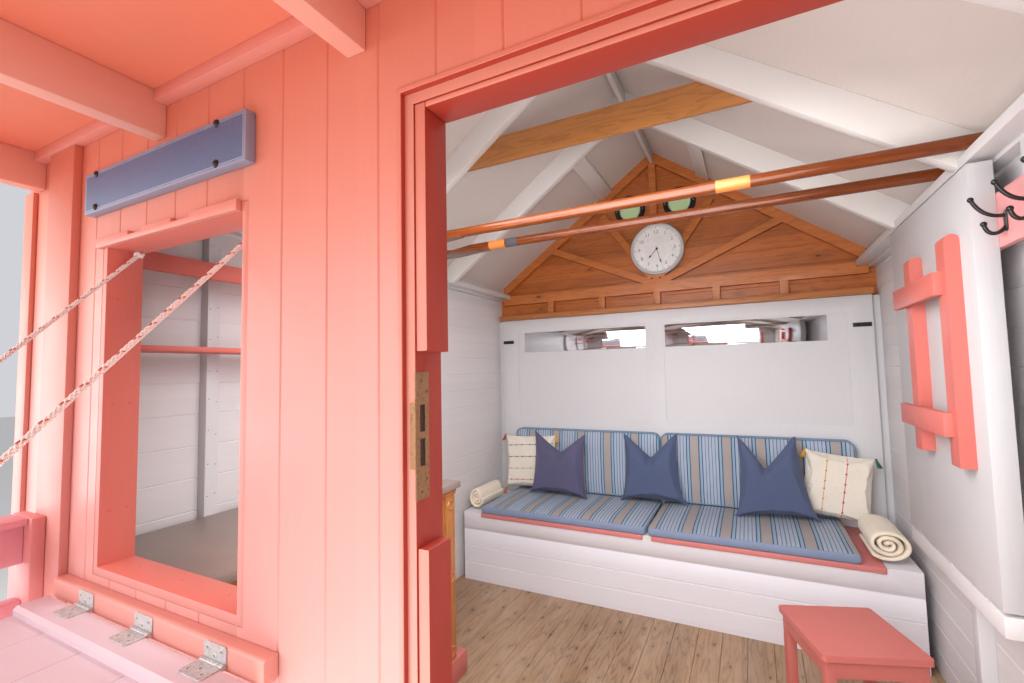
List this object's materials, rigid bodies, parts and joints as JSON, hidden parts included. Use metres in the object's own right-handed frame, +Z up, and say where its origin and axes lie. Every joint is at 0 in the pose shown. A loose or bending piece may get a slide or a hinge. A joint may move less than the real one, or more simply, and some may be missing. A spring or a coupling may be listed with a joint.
{
  "type": "beach hut",
  "caption": "Timber beach hut with a gabled roof, covered deck, open doorway, drop-flap serving hatch, bench, kitchen unit and fold-down table.",
  "frame": {"origin": "on the ground, on the hut's centreline, under the outer face of the front wall, on the middle bearer's underside", "axes": "+Z up, +Y into the hut from the front wall, +X to the right as seen from the front"},
  "size_m": [2.8, 4.413, 3.2791],
  "materials": {
    "treated_timber": "rough sawn, treated",
    "floor_timber": "worn, waxed boards",
    "deck_timber": "weathered boards",
    "coral_boards": "satin coral paint outside, white paint or bare pine inside",
    "coral_trim": "satin coral paint",
    "pink_paint": "satin pink paint",
    "white_paint": "satin white paint",
    "roof_felt": "mineral felt",
    "pine": "clear varnish",
    "varnished_wood": "gloss varnish",
    "sign_paint": "eggshell blue-grey paint",
    "brass": "aged",
    "galvanised_steel": "galvanised",
    "black_iron": "black paint",
    "rope": "braided, white with red flecks",
    "striped_fabric": "woven stripe",
    "navy_fabric": "woven",
    "cream_fabric": "woven",
    "mirror_glass": "polished",
    "porthole_black": "gloss",
    "pane_glass": "clear",
    "clock_face": "worn white paint",
    "worktop_stone": "honed"
  },
  "bodies": {
    "hut": {"back_pads": "striped_fabric", "back_panels": "white_paint", "back_wall": "coral_boards", "balustrades": "pink_paint", "bargeboards": "coral_trim", "bench_box": "white_paint", "bench_lids": "pink_paint", "blanket_rolls": "cream_fabric", "coat_hooks": "black_iron", "collar_tie": "pine", "corner_boards": "coral_trim", "deck_boards": "deck_timber", "door_frame": "coral_trim", "door_leaf": "coral_boards", "door_stops": "coral_trim", "flap_hinges": "galvanised_steel", "floor_bearers": "treated_timber", "floor_boards": "floor_timber", "front_gable": "coral_boards", "front_wall": "coral_boards", "gable_frame": "pine", "hatch_flap": "pink_paint", "hatch_frame": "coral_trim", "hatch_head_trim": "coral_trim", "hatch_ropes": "rope", "hatch_wall": "coral_boards", "hinge_board": "coral_trim", "hook_rail": "pink_paint", "kitchen_plinth": "pink_paint", "kitchen_shelves": "pink_paint", "kitchen_unit": "pine", "left_wall": "coral_boards", "lock_keep": "brass", "mirror_strips": "mirror_glass", "mug_shelf": "pine", "oars": "varnished_wood", "panel_bolts": "black_iron", "porch_front_beam": "coral_trim", "porch_joists": "coral_trim", "porch_posts": "pink_paint", "porch_roof": "roof_felt", "portholes": "porthole_black", "purlins": "white_paint", "rafters": "white_paint", "ridge_board": "white_paint", "right_wall": "coral_boards", "roof_left": "roof_felt", "roof_right": "roof_felt", "scatter_cushions": "navy_fabric", "seat_pads": "striped_fabric", "side_table": "pink_paint", "sign_board": "sign_paint", "soffit_battens": "coral_trim", "table_cleat": "white_paint", "wall_clock": "clock_face", "wall_plates": "white_paint", "wall_studs": "white_paint", "worktop": "worktop_stone"},
    "fold_down_table": {"table_leaf": "white_paint"},
    "table_leg_frame": {"table_legs": "pink_paint"}
  },
  "joints": [
    {"name": "table_hinge", "type": "hinge", "parent": "hut", "child": "fold_down_table", "pos_m": [1.191, 1.655, 0.932], "axis": [0, -1, 0], "range_deg": [0, 90]},
    {"name": "leg_hinge", "type": "hinge", "parent": "fold_down_table", "child": "table_leg_frame", "pos_m": [1.1647, 1.5375, 2.017], "axis": [0, 1, 0], "range_deg": [0, 90]}
  ]
}
